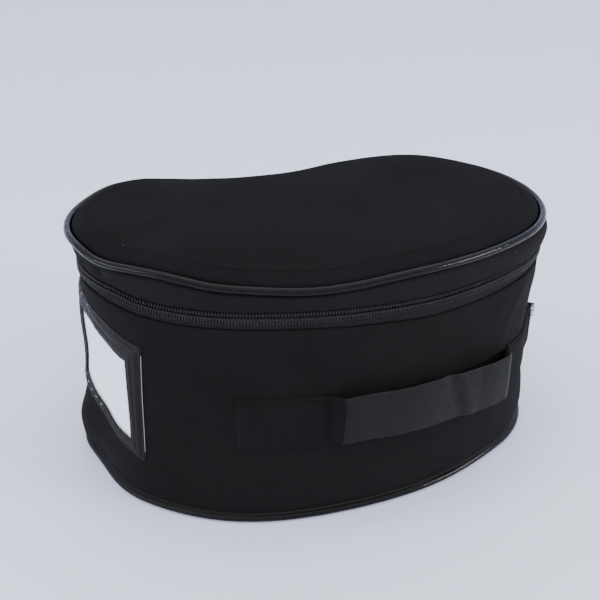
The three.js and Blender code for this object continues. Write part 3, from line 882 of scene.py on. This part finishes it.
sliderAt = hingeRun[0] - slider["before"]
sliderZ = float(coilMiddle(np.array(sliderAt)))
pullZ = sliderZ - slider["high"] / 2 - pull["high"] / 2 + pull["overlap"]
sliderPart = joinParts([
    roundedPlate(sliderAt, slider["seat"] + slider["thick"] / 2, sliderZ, slider),
    roundedPlate(sliderAt, slider["seat"] + slider["thick"] * pull["out"], pullZ, pull),
])
makePiece("zip_slider_pull", sliderPart, zipNylon, ["zip_slider"])
print("zip made")

# Handle strap: where it stands along the outline, how far off the wall, and the height of its middle
strap = dict(
    wide=31.0,
    thick=2.0,
    along=[66.0, 113.5, 116.0, 119.5, 135.0, 165.0, 190.0, 212.0, 230.0, 237.0, 243.0, 246.5, 304.0],
    off=[0.2, 0.2, 2.5, 7.5, 9.5, 10.0, 9.0, 10.0, 10.5, 8.0, 2.0, 0.2, 0.2],
    middle=[64.0, 65.0, 66.0, 68.5, 70.0, 70.0, 68.0, 66.5, 66.0, 65.0, 62.5, 61.5, 61.0],
)
strapColumns = [(66, 113, 30), (113, 247, 190), (247, 304, 36)]
# Stretch between the patches, how much thinner and narrower the strap is under them, and the bowed stretch
strapPress = dict(left=(110, 117), right=(243, 250), thinner=0.55, narrower=4)
strapBow = dict(left=(118, 130), right=(226, 240), high=0.9, level=0.4)
strapCrease = dict(at=190.0, lean=-0.3, deep=0.9, spread=4.5, ridge=1.6)


def strapMiddle(at):
    return tableCurve(strap, "middle", at)


# One where a patch presses the strap flat, zero on the free stretch
def pressed(at):
    return 1 - between(at, strapPress["left"], strapPress["right"])


def strapThick(at):
    return strap["thick"] * (1 - strapPress["thinner"] * pressed(at))


# Outside face of the strap: the wall's farthest point under its width, plus how far it stands off
def strapFace(at):
    middle, half = strapMiddle(at), strap["wide"] / 2
    seats = [wallOut(at, middle + k * half) for k in (-1, -0.5, 0, 0.5, 1)]
    return np.maximum.reduce(seats) + tableCurve(strap, "off", at) + strapThick(at)


# The free stretch is bowed a little across its width and creased once, slanting, near its right end
def strapOut(at, z):
    up = z - strapMiddle(at)
    bow = strapBow["high"] * (strapBow["level"] - (up / (strap["wide"] / 2)) ** 2)
    crease = (at - strapCrease["at"] - strapCrease["lean"] * up) / strapCrease["spread"]
    wave = strapCrease["deep"] * (bell(crease - strapCrease["ridge"], 1) - bell(crease, 1))
    free = between(at, strapBow["left"], strapBow["right"])
    return strapFace(at) - strapThick(at) / 2 + free * (bow + wave)


def strapHeight(at, share):
    return strapMiddle(at) + (strap["wide"] - strapPress["narrower"] * pressed(at)) * (share - 0.5)


strapAts = np.unique(np.concatenate([np.linspace(*run) for run in strapColumns]))
strapPart = sheetPart(
    strapOut, strapAts, endSpread(44), strapHeight, lambda at, z: strapThick(at), rounding=0.9)
makePiece("handle_webbing", strapPart, webbing, ["handle_strap"])

# End patches: sewn to the wall round their border and lifted over the strap in the middle
patch = dict(thick=0.9, border=1.6, sewn=2.6, sewnEdge=1.0, offStrap=0.2, offWall=0.1)
patchEnds = dict(
    left=dict(mouth=118.5, end=56.0, curl=0.0, hem=0.0, rise=0.0, slant=1.7, cut=39.5),
    right=dict(mouth=247.0, end=308.0, curl=4.2, hem=3.4, rise=3.0, slant=0.0, cut=37.0),
)
patchStitch = dict(pitch=3.0, length=2.2, rise=0.3, radius=0.22)
# Distances over which a patch eases: off the strap's edge, at its mouth, and in its end's curl, hem and rise
patchEase = dict(
    edge=(-2.2, 1.2), mouth=(3, 14), slant=(0, 20),
    curl=(0, 12), curlHeight=(43, 56), hem=(4, 10), rise=(0, 16),
)


# Middle surface of a patch: its border on the wall, its middle over the strap, its closed end curled off
def patchOut(ends, at, z):
    half = strap["wide"] / 2
    overEnd = smoothStep(np.abs(at - ends["end"]), patch["border"], 3 * patch["border"])
    overEdge = 1 - smoothStep(np.abs(z - strapMiddle(at)) - half, *patchEase["edge"])
    over = strapFace(at) + patch["offStrap"] + patch["thick"] / 2
    seat = wallOut(at, z)
    hidden = np.maximum(over - strapThick(at) - patch["thick"] - seat, 0)
    lifted = closeTo(at, ends["mouth"], patchEase["mouth"]) * hidden
    border = seat + lifted + patch["offWall"] + patch["thick"] / 2
    curled = closeTo(at, ends["end"], patchEase["curl"]) * smoothStep(z, *patchEase["curlHeight"])
    return border + (over - border) * overEnd * overEdge + ends["curl"] * curled


# A patch is thicker inwards where its end is folded under
def patchHem(ends, at):
    return ends["hem"] * closeTo(at, ends["end"], patchEase["hem"])


def patchHeight(ends, at, share):
    half = strap["wide"] / 2 + patch["border"]
    rise = ends["rise"] * closeTo(at, ends["end"], patchEase["rise"])
    return strapMiddle(at) + half * (2 * share - 1) + rise * share


# The mouth leans along the strap towards its top
def patchSlant(ends, at, share):
    return at + ends["slant"] * (share - 0.5) * closeTo(at, ends["mouth"], patchEase["slant"])


# Stitches round a patch: a run along its lower edge, one along its upper edge and one up its closed end
def patchThread(ends, low, high):
    inset = patch["sewn"]
    half = strap["wide"] / 2 + patch["border"] - patch["sewnEdge"]
    closed = ends["end"] + (inset if ends["end"] == low else -inset)
    sewnAt = lambda at, z, lift: spot(at, patchOut(ends, at, z) + patch["thick"] / 2 + lift, z)
    middle = float(strapMiddle(np.array(closed)))
    runs = [
        (lambda s, lift: sewnAt(s, strapMiddle(s) - half, lift), low + inset, high - inset),
        (lambda s, lift: sewnAt(s, strapMiddle(s) + half, lift), low + inset, high - inset),
        (lambda s, lift: sewnAt(closed + 0 * s, s, lift), middle - half, middle + half),
    ]
    facing = facingOf((low + high) / 2)
    return [stitchPart(run, start, stop, patchStitch, facing) for run, start, stop in runs]


patchThreads = []
for side, ends in patchEnds.items():
    low, high = sorted((ends["mouth"], ends["end"]))
    part = sheetPart(
        lambda at, z: patchOut(ends, at, z) - patchHem(ends, at) / 2,
        low + (high - low) * endSpread(70),
        endSpread(60),
        lambda at, share: patchHeight(ends, at, share),
        lambda at, z: patch["thick"] + patchHem(ends, at),
        patch["thick"] / 2,
        lambda at, share: patchSlant(ends, at, share),
    )
    name = "handle_" + side + "_patch_cloth"
    piece = makePiece(name, part, patchCloth, ["handle_patch_" + side])
    patchThreads += patchThread(ends, low, high)
makePiece("patch_thread", joinParts(patchThreads), blackThread)

# Frayed ends of the right patch: threads of uneven length that leave its closed edge, droop and curl
frayCount = 72
frayShare = np.arange(frayCount) / frayCount
frayTurn = np.arange(frayCount) * 2.4
fray = dict(
    z=49.0 + 31.5 * frayShare,
    long=2.2 + 1.4 * frayShare**2 + 0.8 * np.sin(frayTurn) + 0.5 * np.sin(0.37 * frayTurn),
    droop=0.8 * np.sin(1.7 * frayTurn),
    turn=1.2 + 0.3 * np.sin(0.9 * frayTurn + 1.0),
)
frayRoot, frayRadius = 0.6, 0.26
frayWave = dict(high=0.3, turn=5)


# Loose threads: each leaves at an angle, droops with the square of its length and waves a little
def frayPaths(at, out, z, long, droop, turn, steps=10):
    t = np.linspace(0, 1, steps)[None, :]
    z, long, droop, turn = (np.asarray(v)[:, None] for v in (z, long, droop, turn))
    height = z - droop * t**2 + frayWave["high"] * np.sin(frayWave["turn"] * t)
    return spot(at + long * t * np.cos(turn), out + long * t * np.sin(turn), height)


rightEnd = patchEnds["right"]["end"]
frayOut = patchOut(patchEnds["right"], rightEnd, fray["z"])[:, None]
frayPart = threadPart(frayPaths(rightEnd - frayRoot, frayOut, **fray), upward, frayRadius)
makePiece("patch_fray", frayPart, frayedThread)
print("handle made")

# Card holder on the left end: a card and a film under a vinyl frame, all laid on the wall
holder = dict(
    right=794.5, wide=92.5, foot=29.8, high=75.7, side=11.0, top=13.5, bottom=10.0, tuck=4.0,
    lean=0.22, slant=0.044, outerSlant=0.027, outerSpread=1.0, outerHollow=2.0,
    droop=6.5, droopFrom=20, droopPower=1.5,
)
layers = dict(card=0.4, film=0.4)
holderLeft, holderTop = holder["right"] - holder["wide"], holder["foot"] + holder["high"]
windowLeft, windowRight = holderLeft + holder["side"], holder["right"] - holder["side"]
windowLow, windowHigh = holder["foot"] + holder["bottom"], holderTop - holder["top"]
cardLift = 1.5 * gap
filmLift = cardLift + layers["card"] + gap


# The holder rises towards its left end
def holderZ(at, z):
    return z + holder["lean"] * (holder["right"] - at)


# Its upright edges slant; the frame's outer ones slant less and are hollowed in the middle
def holderAt(at, z, across=1.0):
    up = z - (holder["foot"] + holderTop) / 2
    hollowed = holder["outerSpread"] - holder["outerHollow"] * (1 - (2 * up / holder["high"]) ** 2)
    return at - (holder["slant"] - holder["outerSlant"] * (1 - across)) * up + (1 - across) * hollowed


# It bridges the wall's dent: bell-shaped lifts at its upper left and over the lower left
holderLifts = dict(at=[708.0, 736.0], z=[92.0, 48.0], out=[2.6, 2.4], wide=[17.0, 18.0], high=[24.0, 15.0])


# Sheet on the wall, tucked under the frame on all sides of the window
def laidSheet(lift, thick):
    tuck = holder["tuck"]
    ats = windowLeft - tuck + (windowRight - windowLeft + 2 * tuck) * endSpread(60)
    flatAt = lambda share: windowLow - tuck + (windowHigh - windowLow + 2 * tuck) * share
    return sheetPart(
        lambda at, z: wallOut(at, z) + pushes(holderLifts, at, z) + lift + thick / 2,
        ats,
        endSpread(50),
        lambda at, share: holderZ(at, flatAt(share)),
        thick,
        thick / 2,
        lambda at, share: holderAt(at, flatAt(share)),
    )


makePiece("ruled_card", laidSheet(cardLift, layers["card"]), ruledCard, ["label_card"])
makePiece("card_film", laidSheet(filmLift, layers["film"]), clearFilm, ["label_window"])

# Frame: a rectangle walked round; across it, a bound edge, a sewn groove, two ridges and a thin lip
framing = dict(
    along=[0.0, 0.04, 0.12, 0.20, 0.30, 0.38, 0.48, 0.55, 0.63, 0.70, 0.80, 0.92, 1.0],
    seat=[0.15, 0.2, 0.3, 0.45, 0.8, 1.1, 1.5, 1.8, 1.9, 1.9, 1.9, 1.9, 1.9],
    thick=[0.1, 0.8, 1.1, 0.75, 1.15, 1.4, 1.0, 0.8, 1.25, 1.5, 0.9, 0.85, 0.4],
)
frameLiftEase = (0, 0.4)
puckers = dict(high=0.12, at=0.9, z=(0.4, 0.5), phase=1.0)


def frameLoop(across, steps=(60, 46, 60, 46)):
    across = across[None, :]
    left = holderLeft + (windowLeft - holderLeft) * across
    right = holder["right"] + (windowRight - holder["right"]) * across
    low = holder["foot"] + (windowLow - holder["foot"]) * across
    high = holderTop + (windowHigh - holderTop) * across
    turns = [(left, low), (right, low), (right, high), (left, high), (left, low)]
    ats, zs = [], []
    for (at, z), (nextAt, nextZ), count in zip(turns, turns[1:], steps):
        t = (np.arange(count) / count)[:, None]
        ats.append(at + (nextAt - at) * t)
        zs.append(z + (nextZ - z) * t)
    return np.concatenate(ats), np.concatenate(zs)


# Underside and face of the frame, as offsets from the outline
def frameFaces(place, z, across):
    lifted = pushes(holderLifts, place, z) * smoothStep(across, *frameLiftEase)
    under = wallOut(place, z) + lifted + tableCurve(framing, "seat", across)
    return under, under + tableCurve(framing, "thick", across)


# The window's upper edge droops towards the left, and fine puckers run over the face
frameAcross = np.linspace(0, 1, 34)
frameAt, frameFlatZ = frameLoop(frameAcross)
towardsLeft = np.clip((windowRight - frameAt) / (windowRight - windowLeft), 0, 1) ** holder["droopPower"]
towardsTop = smoothStep(frameFlatZ, holder["foot"] + holder["droopFrom"], windowHigh)
frameFlatZ = frameFlatZ - holder["droop"] * frameAcross * towardsLeft * towardsTop
frameZ, framePlace = holderZ(frameAt, frameFlatZ), holderAt(frameAt, frameFlatZ, frameAcross)
frameUnder, frameFace = frameFaces(framePlace, frameZ, frameAcross)
puckerWave = np.sin(puckers["at"] * frameAt + puckers["z"][0] * frameZ)
frameTop = frameFace + puckers["high"] * puckerWave * np.sin(puckers["z"][1] * frameZ + puckers["phase"])
frameGrid = [spot(framePlace, frameTop, frameZ), spot(framePlace, frameUnder, frameZ)[:, ::-1]]
framePart = gridPart(np.concatenate(frameGrid, 1), True, True)
makePiece("holder_frame", framePart, frameVinyl, ["label_frame"])

# Stitches in the frame's groove, along each of its four sides
groove = 0.20
grooveStitch = dict(pitch=3.2, length=2.3, rise=0.45, radius=0.22)


def grooveAt(s, lift, along, fixed, across=groove):
    at, flatZ = (s, fixed + 0 * s) if along else (fixed + 0 * s, s)
    z, place = holderZ(at, flatZ), holderAt(at, flatZ, across)
    return spot(place, frameFaces(place, z, np.array(across))[1] + lift, z)


grooveLeft, grooveRight = holderLeft + groove * holder["side"], holder["right"] - groove * holder["side"]
grooveLow, grooveHigh = holder["foot"] + groove * holder["bottom"], holderTop - groove * holder["top"]
grooveRuns = [
    (True, grooveLow, grooveLeft, grooveRight),
    (True, grooveHigh, grooveLeft, grooveRight),
    (False, grooveLeft, grooveLow, grooveHigh),
    (False, grooveRight, grooveLow, grooveHigh),
]
holderFacing = facingOf(holder["right"] - holder["wide"] / 2)
grooveThreads = []
for along, fixed, start, stop in grooveRuns:
    sewnAt = lambda s, lift: grooveAt(s, lift, along, fixed)
    grooveThreads.append(stitchPart(sewnAt, start, stop, grooveStitch, holderFacing))
makePiece("holder_thread", joinParts(grooveThreads), blackThread)

# Stitches painted pale, as painted highlights on the stitching: three along the upper band near the left end,
# and some along the window's foot
highlightStitch = dict(length=2.6, rise=0.5, radius=0.24)
highlightLift = 0.2
highlightRuns = dict(
    across=[groove, 0.88],
    z=[grooveHigh, windowLow - 1.2],
    start=[holderLeft + 12, windowLeft + 3],
    stop=[holderLeft + 40, windowLeft + 36],
    pitch=[12.0, 7.5],
)
highlightThreads = []
for across, z, start, stop, pitch in zip(*highlightRuns.values()):
    sewnAt = lambda s, lift: grooveAt(s, lift + highlightLift, True, z, across)
    highlightThreads.append(stitchPart(sewnAt, start, stop, dict(highlightStitch, pitch=pitch), holderFacing))
makePiece("holder_painted_highlight_thread", joinParts(highlightThreads), highlightThread)

# Pale thread along the frame's cut right edge, as painted highlight where that edge catches light, and loose
# thread ends at its right corners
edgeHighlight = dict(low=36.0, high=101.0, radius=0.24, past=0.25, out=0.75)
edgeHighlightZ = np.linspace(edgeHighlight["low"], edgeHighlight["high"], 60)
edgeHighlightAt = holderAt(holder["right"] + edgeHighlight["past"], edgeHighlightZ, 0.0)
edgeHighlightPath = spot(edgeHighlightAt, wallOut(edgeHighlightAt, edgeHighlightZ) + edgeHighlight["out"], edgeHighlightZ)[None]
edgeHighlightPart = threadPart(edgeHighlightPath, facingOf(holder["right"]), edgeHighlight["radius"])
makePiece("holder_edge_painted_highlight", edgeHighlightPart, highlightThread)
tufts = dict(
    z=[104.5, 105.5, 103.5, 31.0, 30.0],
    long=[4.0, 3.2, 2.6, 7.0, 3.5],
    droop=[-1.5, -2.5, 1.0, 6.0, 2.0],
    turn=[0.5, 0.9, 0.3, 0.5, 0.8],
)
tuftRoot = dict(z=70.0, out=1.0, inside=1.0, radius=0.15)
tuftOut = float(wallOut(np.array(holder["right"]), np.array(tuftRoot["z"]))) + tuftRoot["out"]
tuftAt = holderAt(holder["right"] - tuftRoot["inside"], np.array(tufts["z"]), 0.0)[:, None]
tuftPart = threadPart(frayPaths(tuftAt, tuftOut, **tufts), upward, tuftRoot["radius"])
makePiece("holder_thread_ends", tuftPart, blackThread)
print("card holder made")

# Stage: a round pale floor that sweeps up to a wall far behind, the same from every side
stage = dict(inner=0.001, flat=1.6, reach=3.0, high=2.2, tone=(0.70, 0.735, 0.87), mottle=(0.985, 1.015))
stageRows = dict(flat=11, sweep=24, sides=96)


# Profile turned about the upright axis: flat out to a radius, then a quarter ellipse up
def sweepFloor():
    lift = np.linspace(0, math.pi / 2, stageRows["sweep"])
    inner = np.linspace(stage["inner"], stage["flat"], stageRows["flat"] + 1)[:-1]
    radius = np.concatenate([inner, stage["flat"] + (stage["reach"] - stage["flat"]) * np.sin(lift)])
    height = np.concatenate([np.zeros(stageRows["flat"]), stage["high"] * (1 - np.cos(lift))])
    turn = ringTurns(stageRows["sides"])[:, None]
    points = np.stack(np.broadcast_arrays(radius * np.cos(turn), radius * np.sin(turn), height), -1)
    points, quads, _ = gridPart(points, True, False)
    middle = list(range(0, len(points), len(radius)))
    mesh = bpy.data.meshes.new("floor_sweep")
    mesh.from_pydata(points.tolist(), [], quads[:, ::-1].tolist() + [middle])
    material, shader, _, worn = newMaterial("pale floor", {"Roughness": 0.6, "Specular IOR Level": 0.3})
    low, high = (tuple(k * v for v in stage["tone"]) + (1.0,) for k in stage["mottle"])
    feed(shader.inputs["Base Color"], mixColour(worn["Mottle"], low, high))
    linkMesh("floor_sweep", mesh, material)


sweepFloor()

# Light tent: pale surroundings, with narrow lights above, left and right that draw lines on the cords
ambient = dict(Color=(0.98, 0.97, 1.0, 1.0), Strength=1.9)
lamps = dict(
    above=dict(place=(0.0, 0.1, 1.3), aim=(0.0, 0.0, 0.1), size=(1.6, 0.12), watts=4.0),
    left=dict(place=(-1.75, -0.3, 0.5), aim=(0.0, 0.0, 0.1), size=(1.4, 0.08), watts=17.0),
    right=dict(place=(1.6, -0.9, 0.7), aim=(0.0, 0.0, 0.08), size=(0.9, 0.09), watts=27.0),
)


# Links a lamp or camera to the scene, at a place and turned towards another
def aimObject(name, data, place, aim):
    made = linkObject(name, data)
    made.location = place
    made.rotation_euler = (Vector(aim) - Vector(place)).to_track_quat("-Z", "Y").to_euler()
    return made


world = bpy.data.worlds.new("studio")
bpy.context.scene.world = world
world.use_nodes = True
feedAll(world.node_tree.nodes["Background"], ambient)
for name, lamp in lamps.items():
    light = bpy.data.lights.new("soft light " + name, "AREA")
    light.shape = "RECTANGLE"
    light.size, light.size_y = lamp["size"]
    light.energy = lamp["watts"]
    aimObject("soft light " + name, light, lamp["place"], lamp["aim"])

# Camera at the photograph's viewing angle, placed from the plan outline; the shift puts its axis in the frame
view = dict(eye=(-162.7, -561.1, 395.0), aim=(-4.147, -0.732, 69.419), lens=60.0, sensor=36.0, shiftY=0.0533)
eye, aimed = ((Vector(view[name]) + Vector(case["shift"])) * metre for name in ("eye", "aim"))
camera = aimObject("camera", bpy.data.cameras.new("camera"), eye, aimed)
camera.data.lens = view["lens"]
camera.data.sensor_width = view["sensor"]
camera.data.shift_y = view["shiftY"]
bpy.context.scene.camera = camera
print("stage, light and camera made")
